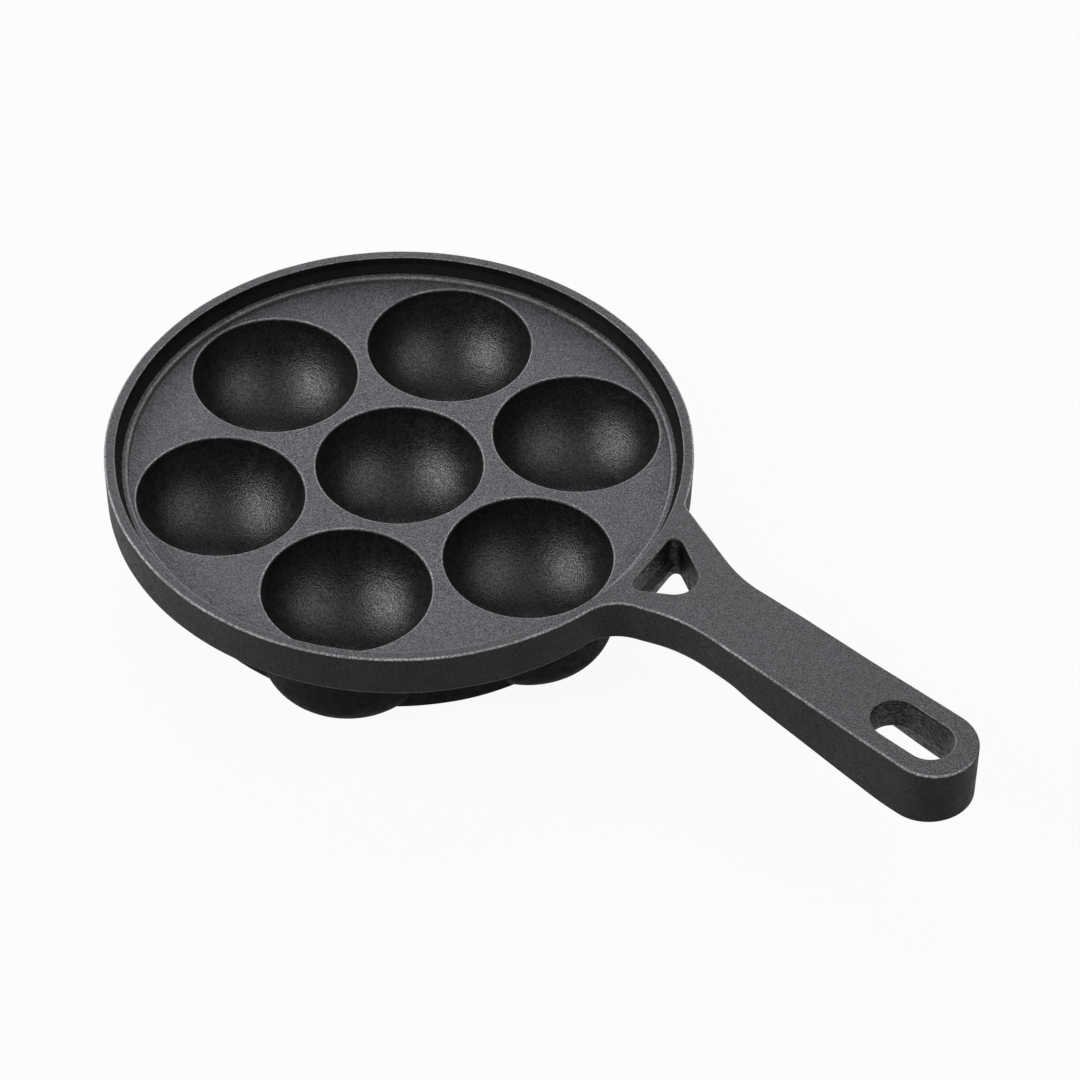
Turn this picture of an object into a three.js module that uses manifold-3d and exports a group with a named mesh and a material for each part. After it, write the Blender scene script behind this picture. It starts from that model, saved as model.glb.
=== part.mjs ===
// Cast-iron paniyaram pan: seven bowls hang under a round tray with a low rim, webs of a heat
// ring stand between the outer bowls, and a flat handle with two holes runs out from the rim.
// Millimetres, +Z up. The origin is on the pan's axis in the plane that the bowls stand on,
// and +X runs out along the handle.

import * as THREE from 'three';
import { mergeVertices } from 'three/addons/utils/BufferGeometryUtils.js';
import Module from 'manifold-3d';

// Bowls
const outerBowls = 6;
const bowlRadius = 30.6; // opening at the tray floor
const bowlDepth = 32;
const bowlWall = 2.6; // iron around the opening, under the tray floor
const bowlFloor = 9.5; // iron under a bowl's lowest point
const bowlTaper = 2.2; // how far the outside draws in on its way down to the foot
const bowlSpacing = 0.4; // between the outsides of neighbouring bowls
const bowlTurn = -2.5; // first outer bowl from the handle's direction, degrees
const footRound = 13;

// Tray and rim
const trayDepth = 8.5; // rim top down to the tray floor
const floorThickness = 4.5;
const skirtDrop = 5; // rim band below the underside of the floor
const rimMargin = 6.1; // outer bowl's opening to the rim's inner wall
const rimLand = 4; // width of the rim's flat top
const rimDraft = 0.5; // rim band is this much smaller at its lower edge

// Heat ring, whose webs stand between the outer bowls
const ringOutset = 19.2; // ring's outer face beyond the circle of bowl centres
const ringWall = 5;
const ringLift = 2.5; // lower edge above the plane of the feet

// Handle
const handleReach = 144.5; // rim to tip
const handleOffset = 20; // axis of the handle beside the pan's own axis
const neckWidth = 29.8;
const neckReach = 27; // rim to the narrowest place
const neckRound = 55;
const tipWidth = 33.2;
const shoulderAngle = 20; // flare of the sides towards the rim, degrees
const nearRootRound = 16; // fillet into the rim on the side of the pan's axis
const farRootRound = 5; // and on the other side, where the rim curves away
const rootMargin = 4; // length of rim cast with the handle beyond each fillet
const bellyReach = 50; // rim to where the underside starts to fall
const gripSetback = 24; // tip back to the deepest place of the handle
const gripDepth = 25;
const tipDepth = 22.8;
const tipRound = 5; // lower edge of the tip
const bellyRound = 80; // bends of the underside
const hollowReach = 64; // rim to the start of the hollow in the back of the grip
const hollowWall = 2;
const hollowRound = 9;
const gripWeb = 13.4; // iron left above the hollow

// Holes in the handle
const slotLength = 32.5;
const slotWidth = 17.8;
const slotEndWall = 9; // iron between the slot and the tip
const windowBase = 34.2; // side along the rim, between its sharp corners
const windowHeight = 28.5; // rim side to the sharp outer corner
const windowBaseRound = 3;
const windowTipRound = 9;

// Clearance between pieces that don't rest face to face
const fitGap = 0.3;

// Facets
const rimSteps = 72;
const bowlSteps = 32;
const bowlArcSteps = 8;
const footArcSteps = 6;
const rootArcSteps = 8;
const outlineSteps = 5;

const floorTop = bowlFloor + bowlDepth;
const floorUnder = floorTop - floorThickness;
const rimTop = floorTop + trayDepth;
const bandUnder = floorUnder - skirtDrop;
const bowlOutside = bowlRadius + bowlWall;
const bowlStep = 2 * bowlOutside + bowlSpacing;
const bowlPitch = Math.max(bowlStep, bowlStep / (2 * Math.sin(Math.PI / outerBowls)));
const trayRadius = bowlPitch + bowlRadius + rimMargin;
const panRadius = trayRadius + rimLand;
const shelfRadius = bowlPitch + bowlOutside + fitGap;
const ringRadius = bowlPitch + ringOutset;
const tipX = panRadius + handleReach;

const wasm = await Module();
wasm.setup();

// A closed geometry, with its shared vertices merged, as a solid that can be joined and cut.
function toSolid(geometry) {
  geometry.deleteAttribute('normal');
  geometry.deleteAttribute('uv');
  const welded = mergeVertices(geometry);
  const corners = welded.index.array;
  const triVerts = [];
  for (let i = 0; i < corners.length; i += 3) {
    const [a, b, c] = corners.slice(i, i + 3);
    if (a !== b && b !== c && c !== a) triVerts.push(a, b, c);
  }
  return new wasm.Manifold(
    new wasm.Mesh({
      numProp: 3,
      vertProperties: welded.attributes.position.array,
      triVerts: Uint32Array.from(triVerts),
    }),
  );
}

function toGeometry(solid) {
  const mesh = solid.getMesh();
  const geometry = new THREE.BufferGeometry();
  geometry.setAttribute('position', new THREE.BufferAttribute(mesh.vertProperties, 3));
  geometry.setIndex(new THREE.BufferAttribute(mesh.triVerts, 1));
  geometry.computeVertexNormals();
  return geometry;
}

// Turns a profile of [radius, height] around the Z axis.
function turned(profile, steps) {
  const points = profile.map(([radius, height]) => new THREE.Vector2(radius, height));
  return toSolid(new THREE.LatheGeometry(points, steps).rotateX(Math.PI / 2));
}

// Raises a plan outline from one height to another.
function raised(shape, low, high) {
  const settings = { depth: high - low, bevelEnabled: false, curveSegments: outlineSteps };
  return toSolid(new THREE.ExtrudeGeometry(shape, settings).translate(0, 0, low));
}

// Closed outline through corners [x, y, radius], each rounded by an arc tangent to both sides.
function roundedOutline(corners) {
  const shape = new THREE.Shape();
  const spots = corners.map(([x, y]) => new THREE.Vector2(x, y));
  corners.forEach(([x, y, radius], i) => {
    const back = spots.at(i - 1).clone().sub(spots[i]).normalize();
    const ahead = spots[(i + 1) % spots.length].clone().sub(spots[i]).normalize();
    if (radius === 0) {
      if (i === 0) shape.moveTo(x, y);
      else shape.lineTo(x, y);
      return;
    }
    const half = Math.acos(back.dot(ahead)) / 2;
    const middle = back.clone().add(ahead).setLength(radius / Math.sin(half)).add(spots[i]);
    const from = back.clone().multiplyScalar(radius / Math.tan(half)).add(spots[i]).sub(middle);
    const to = ahead.clone().multiplyScalar(radius / Math.tan(half)).add(spots[i]).sub(middle);
    shape.absarc(middle.x, middle.y, radius, from.angle(), to.angle(), back.cross(ahead) > 0);
  });
  return shape;
}

function circlePoints(x, y, radius, steps) {
  return Array.from({ length: steps }, (_, i) => {
    const angle = (2 * Math.PI * i) / steps;
    return new THREE.Vector2(x + radius * Math.cos(angle), y + radius * Math.sin(angle));
  });
}

// Part of a turn around the Z axis, reaching past the rim, over the whole height of the pan.
function sector(from, to) {
  const reach = 2 * panRadius;
  const shape = new THREE.Shape([new THREE.Vector2(0, 0)]);
  for (let i = 0; i <= rootArcSteps; i += 1) {
    const angle = THREE.MathUtils.lerp(from, to, i / rootArcSteps);
    shape.lineTo(reach * Math.cos(angle), reach * Math.sin(angle));
  }
  return raised(shape, -rimTop, 2 * rimTop);
}

// Places of the bowls around the centre one
function bowlAngle(i) {
  return THREE.MathUtils.degToRad(bowlTurn) + (2 * Math.PI * i) / outerBowls;
}

const bowlPlaces = Array.from({ length: outerBowls }, (_, i) => [
  bowlPitch * Math.cos(bowlAngle(i)),
  bowlPitch * Math.sin(bowlAngle(i)),
]);

// Outside of a bowl from the middle of its foot up to the tray floor, grown by a clearance
function bowlOutsideProfile(grow) {
  const footRadius = bowlOutside - bowlTaper;
  const lean = Math.atan2(bowlTaper, floorUnder);
  const roundHeight = footRound * (1 - Math.sin(lean));
  const wallAtRound = footRadius + roundHeight * Math.tan(lean);
  const roundMiddle = wallAtRound - footRound * Math.cos(lean);
  const profile = [[0, -grow]];
  for (let i = 0; i <= footArcSteps; i += 1) {
    const angle = THREE.MathUtils.lerp(-Math.PI / 2, -lean, i / footArcSteps);
    const radius = footRound + grow;
    profile.push([roundMiddle + radius * Math.cos(angle), footRound + radius * Math.sin(angle)]);
  }
  profile.push([bowlOutside + grow, floorUnder + grow]);
  return profile;
}

function makeBowl() {
  const profile = bowlOutsideProfile(0);
  const start = Math.asin(floorThickness / bowlDepth);
  for (let i = 0; i <= bowlArcSteps; i += 1) {
    const angle = THREE.MathUtils.lerp(start, Math.PI / 2, i / bowlArcSteps);
    const radius = i === bowlArcSteps ? 0 : bowlRadius * Math.cos(angle);
    profile.push([radius, floorTop - bowlDepth * Math.sin(angle)]);
  }
  return turned(profile, bowlSteps);
}

// Part of the tray floor within an outline, with the opening of one bowl
function makeTrayFloor(outline, [x, y]) {
  const shape = new THREE.Shape(outline);
  shape.holes = [new THREE.Path(circlePoints(x, y, bowlRadius, bowlSteps))];
  return raised(shape, floorUnder, floorTop);
}

// Corner of the tray floor's middle part, half a bowl's turn before outer bowl i
function floorCorner(i) {
  const angle = bowlAngle(i - 0.5);
  const radius = bowlPitch / 2 / Math.cos(Math.PI / outerBowls);
  return new THREE.Vector2(radius * Math.cos(angle), radius * Math.sin(angle));
}

function centreFloorOutline() {
  return bowlPlaces.map((_, i) => floorCorner(i));
}

// Part of the tray floor between the middle part and the rim, around outer bowl i
function outerFloorOutline(i) {
  const outline = [floorCorner(i + 1), floorCorner(i)];
  const steps = Math.round(rimSteps / outerBowls);
  for (let k = 0; k <= steps; k += 1) {
    const angle = bowlAngle(i - 0.5 + k / steps);
    const radius = trayRadius - fitGap;
    outline.push(new THREE.Vector2(radius * Math.cos(angle), radius * Math.sin(angle)));
  }
  return outline;
}

// The whole rim, with the shelf that carries the tray floor
function makeRimRing() {
  return turned(
    [
      [shelfRadius, bandUnder],
      [panRadius - rimDraft, bandUnder],
      [panRadius, rimTop],
      [trayRadius, rimTop],
      [trayRadius, floorUnder],
      [shelfRadius, floorUnder],
      [shelfRadius, bandUnder],
    ],
    rimSteps,
  );
}

// Web of the heat ring between outer bowl i and the next one
function makeRingWeb(i) {
  const ring = turned(
    [
      [ringRadius - ringWall, ringLift],
      [ringRadius, ringLift],
      [ringRadius, floorUnder],
      [ringRadius - ringWall, floorUnder],
      [ringRadius - ringWall, ringLift],
    ],
    rimSteps,
  );
  let web = ring.intersect(sector(bowlAngle(i), bowlAngle(i + 1)));
  const room = turned([...bowlOutsideProfile(fitGap), [0, floorUnder + fitGap]], bowlSteps);
  for (const [x, y] of [bowlPlaces[i], bowlPlaces[(i + 1) % outerBowls]]) {
    web = web.subtract(room.translate([x, y, 0]));
  }
  return web;
}

// Where a flared side of the handle runs into the rim: the end of the fillet on the rim, and
// the sharp corner that the fillet rounds.
function rootCorner(side, round) {
  const flare = THREE.MathUtils.degToRad(shoulderAngle);
  const neck = new THREE.Vector2(panRadius + neckReach, handleOffset + (side * neckWidth) / 2);
  const along = new THREE.Vector2(-Math.cos(flare), side * Math.sin(flare));
  const out = new THREE.Vector2(Math.sin(flare), side * Math.cos(flare));
  const base = neck.clone().addScaledVector(out, round);
  const slope = base.dot(along);
  const run = -slope - Math.sqrt(slope ** 2 - base.lengthSq() + (panRadius + round) ** 2);
  const middle = base.clone().addScaledVector(along, run);
  const onRim = middle.clone().setLength(panRadius);
  const toCorner = (panRadius ** 2 - neck.dot(onRim)) / along.dot(onRim);
  const corner = neck.clone().addScaledVector(along, toCorner);
  return { neck, corner, onRim, round, angle: onRim.angle() };
}

const upperRoot = rootCorner(1, farRootRound);
const lowerRoot = rootCorner(-1, nearRootRound);
const rootFrom = lowerRoot.onRim.y < 0 ? lowerRoot.angle - 2 * Math.PI : lowerRoot.angle;
const rootTurn = rootMargin / panRadius;

// Plan of the handle, closed inside the iron of the rim, with its window and its slot
function handlePlan() {
  const halfTip = tipWidth / 2;
  const spread = Math.atan2((tipWidth - neckWidth) / 2, handleReach - neckReach);
  const tipArc = halfTip * Math.tan(Math.PI / 4 - spread / 2);
  const corners = [
    [lowerRoot.onRim.x, lowerRoot.onRim.y, 0],
    [lowerRoot.corner.x, lowerRoot.corner.y, lowerRoot.round],
    [lowerRoot.neck.x, lowerRoot.neck.y, neckRound],
    [tipX, handleOffset - halfTip, tipArc],
    [tipX, handleOffset + halfTip, tipArc],
    [upperRoot.neck.x, upperRoot.neck.y, neckRound],
    [upperRoot.corner.x, upperRoot.corner.y, upperRoot.round],
    [upperRoot.onRim.x, upperRoot.onRim.y, 0],
  ];
  for (let i = 0; i <= rootArcSteps; i += 1) {
    const angle = THREE.MathUtils.lerp(upperRoot.angle, rootFrom, i / rootArcSteps);
    const radius = panRadius - rimLand / 2;
    corners.push([radius * Math.cos(angle), radius * Math.sin(angle), 0]);
  }
  const plan = roundedOutline(corners);
  plan.holes = [slotOutline(), windowOutline()];
  return plan;
}

function slotOutline() {
  const end = tipX - slotEndWall;
  const half = slotWidth / 2;
  return roundedOutline([
    [end - slotLength, handleOffset - half, half],
    [end, handleOffset - half, half],
    [end, handleOffset + half, half],
    [end - slotLength, handleOffset + half, half],
  ]);
}

// Hollow in the back of the grip, an even wall inside the outline of the handle
function hollowOutline() {
  const start = panRadius + hollowReach;
  const end = tipX - hollowWall;
  const spread = (tipWidth - neckWidth) / 2 / (handleReach - neckReach);
  const halfStart = tipWidth / 2 - hollowWall - spread * (tipX - start);
  const halfTip = tipWidth / 2 - hollowWall - spread * (tipX - end);
  const tipArc = halfTip * Math.tan(Math.PI / 4 - Math.atan(spread) / 2);
  return roundedOutline([
    [start, handleOffset - halfStart, hollowRound],
    [end, handleOffset - halfTip, tipArc],
    [end, handleOffset + halfTip, tipArc],
    [start, handleOffset + halfStart, hollowRound],
  ]);
}

// Three-sided window whose long side lies along the rim
function windowOutline() {
  const rimAngle = Math.asin(handleOffset / panRadius);
  const foot = new THREE.Vector2(Math.cos(rimAngle), Math.sin(rimAngle)).multiplyScalar(panRadius);
  const along = new THREE.Vector2(-Math.sin(rimAngle), Math.cos(rimAngle));
  const low = foot.clone().addScaledVector(along, -windowBase / 2);
  const high = foot.clone().addScaledVector(along, windowBase / 2);
  return roundedOutline([
    [low.x, low.y, windowBaseRound],
    [foot.x + windowHeight, handleOffset, windowTipRound],
    [high.x, high.y, windowBaseRound],
  ]);
}

// Side view of the handle in X and Z, drawn through its whole width
function handleSide() {
  const side = roundedOutline([
    [0, rimTop, 0],
    [0, bandUnder, 0],
    [panRadius + bellyReach, bandUnder, bellyRound],
    [tipX - gripSetback, rimTop - gripDepth, bellyRound],
    [tipX, rimTop - tipDepth, tipRound],
    [tipX, rimTop, 0],
  ]);
  const settings = { depth: 4 * panRadius, bevelEnabled: false, curveSegments: outlineSteps };
  const slab = new THREE.ExtrudeGeometry(side, settings).rotateX(Math.PI / 2);
  return toSolid(slab.translate(0, 2 * panRadius, 0));
}

function makeHandle(rimRing) {
  const root = rimRing.intersect(sector(rootFrom - rootTurn, upperRoot.angle + rootTurn));
  const hollow = raised(hollowOutline(), 0, rimTop - gripWeb);
  return raised(handlePlan(), 0, rimTop).intersect(handleSide()).subtract(hollow).add(root);
}

function makeRimWall(rimRing) {
  const turn = rootTurn + fitGap / panRadius;
  return rimRing.subtract(sector(rootFrom - turn, upperRoot.angle + turn));
}

const pan = new THREE.Group();

function place(name, solid, look, x = 0, y = 0) {
  const mesh = new THREE.Mesh(toGeometry(solid), new THREE.MeshStandardMaterial(look));
  mesh.name = name;
  mesh.position.set(x, y, 0);
  pan.add(mesh);
}

const trayIron = { color: 0x3b3b3d, roughness: 0.62, metalness: 0.35 };
const bowlIron = { color: 0x252526, roughness: 0.48, metalness: 0.35 };
const bandIron = { color: 0x2a2a2a, roughness: 0.66, metalness: 0.35 };

const rimRing = makeRimRing();
place('rim_wall', makeRimWall(rimRing), bandIron);
place('tray_floor_centre', makeTrayFloor(centreFloorOutline(), [0, 0]), trayIron);
place('bowl_centre', makeBowl(), bowlIron);
bowlPlaces.forEach(([x, y], i) => {
  place(`tray_floor_${i + 1}`, makeTrayFloor(outerFloorOutline(i), [x, y]), trayIron);
  place(`bowl_${i + 1}`, makeBowl(), bowlIron, x, y);
  place(`ring_web_${i + 1}`, makeRingWeb(i), bandIron);
});
place('handle', makeHandle(rimRing), trayIron);

export default pan;
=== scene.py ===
import math

import bmesh
import bpy
from mathutils import Matrix, Vector, noise
from mathutils.geometry import delaunay_2d_cdt
from mathutils.kdtree import KDTree


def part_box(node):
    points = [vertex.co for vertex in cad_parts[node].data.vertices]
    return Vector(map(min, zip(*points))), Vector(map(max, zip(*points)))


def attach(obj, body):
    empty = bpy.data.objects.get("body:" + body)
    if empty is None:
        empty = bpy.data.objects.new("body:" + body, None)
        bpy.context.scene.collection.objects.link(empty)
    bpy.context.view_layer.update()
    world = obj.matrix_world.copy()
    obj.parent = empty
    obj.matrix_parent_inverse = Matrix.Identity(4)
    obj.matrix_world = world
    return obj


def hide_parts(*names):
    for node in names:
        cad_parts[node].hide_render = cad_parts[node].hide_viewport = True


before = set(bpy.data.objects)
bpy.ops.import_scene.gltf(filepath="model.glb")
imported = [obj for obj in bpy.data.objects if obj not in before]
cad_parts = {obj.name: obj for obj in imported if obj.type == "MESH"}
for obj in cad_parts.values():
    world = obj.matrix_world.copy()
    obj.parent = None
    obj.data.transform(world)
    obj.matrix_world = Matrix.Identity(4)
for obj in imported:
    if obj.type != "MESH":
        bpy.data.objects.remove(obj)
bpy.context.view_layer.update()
scene = bpy.context.scene
scene.view_settings.view_transform = "Standard"
print("frame loaded:", len(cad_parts), "CAD nodes")

perMetre = 1000  # sizes of the pan are in millimetres
fullTurn = 2 * math.pi
panCentre = Vector((0, 0))


# sizes of the pan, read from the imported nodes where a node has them
def cadSize(node, corner, axis):
    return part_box(node)[corner][axis] * perMetre


pan = {
    "rimRadius": -cadSize("rim_wall", 0, 0),
    "rimTop": cadSize("rim_wall", 1, 2),
    "bandUnder": cadSize("rim_wall", 0, 2),
    "floorTop": cadSize("tray_floor_centre", 1, 2),
    "floorUnder": cadSize("tray_floor_centre", 0, 2),
    "bowlFloor": 9.5,
    "bowlRadius": 30.6,
    "bowlPitch": 66.8,
    "bowlTurn": math.radians(-2.5),
    "outerBowls": 6,
    "trayRadius": 103.5,
    "shelfRadius": 100.3,
    "wallDraft": 0.9,  # inner wall leans out this much from the floor's underside to the top
    "bandDraft": 0.5,
    "edgeRound": 0.95,  # outer top edge of rim and handle
    "innerRound": 0.7,
    "bandRound": 1.1,
    "shelfRound": 1.2,
    "innerWear": 0.7,
    "shelfWear": 0.4,
    "underWear": 0.7,  # lower edge of rim and handle
    "flankFacing": 0.5,  # a face whose normal rises less than this is no part of a top
    "wallMargin": 0.1,  # a face this far past the tray radius is no part of the inner wall
    "wobble": ((34, 0.16), (11, 0.07)),  # wavelength and depth of the casting's unevenness
    "wobbleSeed": 5,
    "rimSteps": 230,
    "edgeSteps": 6,
}
noise.seed_set(pan["wobbleSeed"])


def bowlAngle(i):
    return pan["bowlTurn"] + fullTurn * i / pan["outerBowls"]


bowlPlaces = [Vector((math.cos(bowlAngle(i)), math.sin(bowlAngle(i)))) * pan["bowlPitch"]
              for i in range(pan["outerBowls"])]


# mesh helpers: a shape is a list of points with their wear, and faces between them
meshing = {
    "rowShare": 0.866,  # height of a row of even triangles, as a share of the spacing
    "edgeRoom": 0.7,  # share of the spacing that a fill leaves free along its loops
    "mergeWithin": 1e-5, "sameSpot": 1e-3, "rounding": 1e-6,
    "turnStep": 15, "fewestSteps": 3,  # an arc's step in degrees, and its fewest steps
    "crease": math.radians(42),  # edges that are sharper stay sharp
}


def newShape():
    return {"points": [], "wear": [], "faces": []}


def addRing(shape, ring):
    first = len(shape["points"])
    for x, y, z, wear in ring:
        shape["points"].append(Vector((x, y, z)))
        shape["wear"].append(wear)
    return list(range(first, first + len(ring)))


def bridge(shape, one, other, closed):
    count = len(one)
    for i in range(count if closed else count - 1):
        j = (i + 1) % count
        shape["faces"].append((one[i], one[j], other[j], other[i]))


def fan(shape, ring, tip):
    for i, vert in enumerate(ring):
        shape["faces"].append((vert, ring[(i + 1) % len(ring)], tip))


def bridgeAll(shape, rings, closed):
    for one, other in zip(rings, rings[1:]):
        if len(one) == 1:
            fan(shape, other, one[0])
        elif len(other) == 1:
            fan(shape, one, other[0])
        else:
            bridge(shape, one, other, closed)


def capEnds(shape, rings):
    for end in (0, -1):
        shape["faces"].append(tuple(ring[end] for ring in rings))


def isInside(spot, loop):
    inside = False
    for one, other in zip(loop, loop[1:] + loop[:1]):
        if (one.y > spot.y) != (other.y > spot.y):
            if spot.x < one.x + (spot.y - one.y) / (other.y - one.y) * (other.x - one.x):
                inside = not inside
    return inside


def gridSpots(spots, spacing):  # corners of even triangles, clear of the given spots
    tree = KDTree(len(spots))
    for i, spot in enumerate(spots):
        tree.insert(spot.to_3d(), i)
    tree.balance()
    low = Vector((min(spot.x for spot in spots), min(spot.y for spot in spots)))
    high = Vector((max(spot.x for spot in spots), max(spot.y for spot in spots)))
    rowHeight = spacing * meshing["rowShare"]
    made = []
    for row in range(int((high.y - low.y) / rowHeight) + 1):
        for column in range(int((high.x - low.x) / spacing) + 1):
            spot = low + Vector(((column + row % 2 / 2) * spacing, row * rowHeight))
            if tree.find(spot.to_3d())[2] > spacing * meshing["edgeRoom"]:
                made.append(spot)
    return made


# fills the flat between the first loop and the others, which are holes
def fillFlat(shape, loops, spacing, heightAt):
    owners = [vert for loop in loops for vert in loop]
    outlines = [[shape["points"][vert].to_2d() for vert in loop] for loop in loops]
    spots = [spot for outline in outlines for spot in outline]
    edges, start = [], 0
    for loop in loops:
        edges += [(start + i, start + (i + 1) % len(loop)) for i in range(len(loop))]
        start += len(loop)
    spots += gridSpots(spots, spacing)
    made, _, triangles, sources, _, _ = delaunay_2d_cdt(spots, edges, [], 1, meshing["mergeWithin"])
    index = {}
    for triangle in triangles:
        middle = sum((made[corner] for corner in triangle), Vector((0, 0))) / 3
        if any(isInside(middle, hole) for hole in outlines[1:]):
            continue
        for corner in triangle:
            if corner in index:
                continue
            source = sources[corner][0]
            if source < len(owners):
                index[corner] = owners[source]
            else:
                x, y = made[corner]
                index[corner] = addRing(shape, [(x, y, heightAt(x, y), 0)])[0]
        shape["faces"].append(tuple(index[corner] for corner in triangle))


def arc(middle, start, end, wear, turnStep):
    sweep = math.atan2(start.x * end.y - start.y * end.x, start.dot(end))
    steps = max(meshing["fewestSteps"], math.ceil(abs(math.degrees(sweep)) / turnStep))
    spots = []
    for k in range(steps + 1):
        spoke = Matrix.Rotation(sweep * k / steps, 2) @ start
        spots.append((middle.x + spoke.x, middle.y + spoke.y, wear * math.sin(math.pi * k / steps)))
    return spots


# corners are (x, y, radius, wear); each is rounded by an arc tangent to both sides
def roundedPath(corners, closed=True, turnStep=meshing["turnStep"]):
    path = []
    for i, (x, y, radius, wear) in enumerate(corners):
        here = Vector((x, y))
        if radius == 0:
            path.append((x, y, wear))
            continue
        back = (Vector(corners[i - 1][:2]) - here).normalized()
        ahead = (Vector(corners[(i + 1) % len(corners)][:2]) - here).normalized()
        half = back.angle(ahead) / 2
        middle = here + (back + ahead).normalized() * (radius / math.sin(half))
        start = here + back * (radius / math.tan(half)) - middle
        end = here + ahead * (radius / math.tan(half)) - middle
        path += arc(middle, start, end, wear, turnStep)
    kept = [path[0]]
    for spot in path[1:]:
        if math.dist(spot[:2], kept[-1][:2]) > meshing["sameSpot"]:
            kept.append(spot)
    if closed and math.dist(kept[0][:2], kept[-1][:2]) < meshing["sameSpot"]:
        kept.pop()
    return kept


def quarterTurn(steps):
    return [math.pi / 2 * k / steps for k in range(steps + 1)]


# turns a profile of (radius, height, wear) about an upright axis
def turned(shape, profile, steps, centre, fromAngle=0, turn=fullTurn):
    whole = abs(turn - fullTurn) < meshing["rounding"]
    angles = [fromAngle + turn * k / steps for k in range(steps if whole else steps + 1)]
    rings = []
    for radius, height, wear in profile:
        if radius < meshing["rounding"]:
            rings.append(addRing(shape, [(*centre, height, wear)]))
            continue
        ring = [(centre[0] + radius * math.cos(angle), centre[1] + radius * math.sin(angle), height, wear)
                for angle in angles]
        rings.append(addRing(shape, ring))
    return rings


def unevenness(point):
    move = Vector()
    for wavelength, depth in pan["wobble"]:
        move += noise.noise_vector(point / wavelength) * depth
    return move


# patches are other finishes, each with a test of a face and its number
def castPiece(name, shape, material, nodes, patches=()):
    mesh = bpy.data.meshes.new(name)
    bm = bmesh.new()
    worn = bm.verts.layers.float.new("worn")
    for point, wear in zip(shape["points"], shape["wear"]):
        vert = bm.verts.new((point + unevenness(point)) / perMetre)
        vert[worn] = wear
    bm.verts.ensure_lookup_table()
    made = [bm.faces.new([bm.verts[i] for i in face]) for face in shape["faces"]]
    bmesh.ops.recalc_face_normals(bm, faces=bm.faces)
    for number, face in enumerate(made):
        face.smooth = True
        for index, (finish, belongs) in enumerate(patches):
            if belongs(number, face):
                face.material_index = index + 1
    for edge in bm.edges:
        edge.smooth = edge.calc_face_angle(0) < meshing["crease"]
    openEdges = sum(not edge.is_manifold for edge in bm.edges)
    bm.to_mesh(mesh)
    bm.free()
    for finish in [material] + [patch[0] for patch in patches]:
        mesh.materials.append(finish)
    piece = bpy.data.objects.new(name, mesh)
    scene.collection.objects.link(piece)
    piece.modifiers.new("flat faces lead", "WEIGHTED_NORMAL").keep_sharp = True
    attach(piece, "root")
    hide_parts(*nodes)
    print(name, len(mesh.polygons), "faces,", openEdges, "open edges")


# shader helpers: a number or a colour is set on a socket, and an output is linked to it
def feed(tree, value, socket):
    if isinstance(value, tuple):
        socket.default_value = (*value, 1)
    elif isinstance(value, (int, float)):
        socket.default_value = value
    else:
        tree.links.new(value, socket)


def addNode(tree, kind, **settings):
    node = tree.nodes.new(kind)
    for label, value in settings.items():
        setattr(node, label, value)
    return node


def addNoise(tree, where, scale, texture):  # texture is detail and roughness
    node = addNode(tree, "ShaderNodeTexNoise")
    labels = ("Vector", "Scale", "Detail", "Roughness")
    for label, value in zip(labels, (where, scale, *texture)):
        feed(tree, value, node.inputs[label])
    return node.outputs["Fac"]


def addMath(tree, operation, one, other, clamp=False):
    node = addNode(tree, "ShaderNodeMath", operation=operation, use_clamp=clamp)
    feed(tree, one, node.inputs[0])
    feed(tree, other, node.inputs[1])
    return node.outputs[0]


def addRange(tree, value, span, result):  # takes the ends of the span smoothly to the ends of the result
    node = addNode(tree, "ShaderNodeMapRange", clamp=True, interpolation_type="SMOOTHSTEP")
    labels = ("Value", "From Min", "From Max", "To Min", "To Max")
    for label, amount in zip(labels, (value, *span, *result)):
        feed(tree, amount, node.inputs[label])
    return node.outputs["Result"]


mixSockets = {"one": 6, "other": 7, "result": 2}  # numbers of the Mix node's colour sockets


def addMix(tree, share, one, other):
    node = addNode(tree, "ShaderNodeMix", data_type="RGBA")
    feed(tree, share, node.inputs["Factor"])
    feed(tree, one, node.inputs[mixSockets["one"]])
    feed(tree, other, node.inputs[mixSockets["other"]])
    return node.outputs[mixSockets["result"]]


# shader groups shared by the finishes, whose sockets are all numbers
def newGroup(name, inputs, outputs):
    group = bpy.data.node_groups.new(name, "ShaderNodeTree")
    for way, labels in (("INPUT", inputs), ("OUTPUT", outputs)):
        for label in labels:
            group.interface.new_socket(name=label, in_out=way, socket_type="NodeSocketFloat")
    given, result = group.nodes.new("NodeGroupInput"), group.nodes.new("NodeGroupOutput")
    return group, given.outputs, result.inputs


# settings of the groups: a noise has its detail and roughness, and a span its two ends
sandGrain = {"fine": (2, 0.6), "swell": (2, 0.5), "toneSpan": (0.32, 0.68), "pitSpan": (0.36, 0.60)}


def makeGrainGroup():  # skin that the sand mould leaves
    group, given, result = newGroup(
        "sand grain", ("Grain Scale", "Swell Scale", "Swell", "Contrast"), ("Height", "Tone", "Pits"))
    where = addNode(group, "ShaderNodeTexCoord").outputs["Object"]
    fine = addNoise(group, where, given["Grain Scale"], sandGrain["fine"])
    swell = addNoise(group, where, given["Swell Scale"], sandGrain["swell"])
    lifted = addMath(group, "MULTIPLY", swell, given["Swell"])
    feed(group, addMath(group, "ADD", fine, lifted), result["Height"])
    tone = addRange(group, fine, sandGrain["toneSpan"], (-1, 1))
    spread = addMath(group, "MULTIPLY", tone, given["Contrast"])
    feed(group, addMath(group, "ADD", spread, 1), result["Tone"])
    feed(group, addRange(group, fine, sandGrain["pitSpan"], (1, 0)), result["Pits"])
    return group


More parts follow.
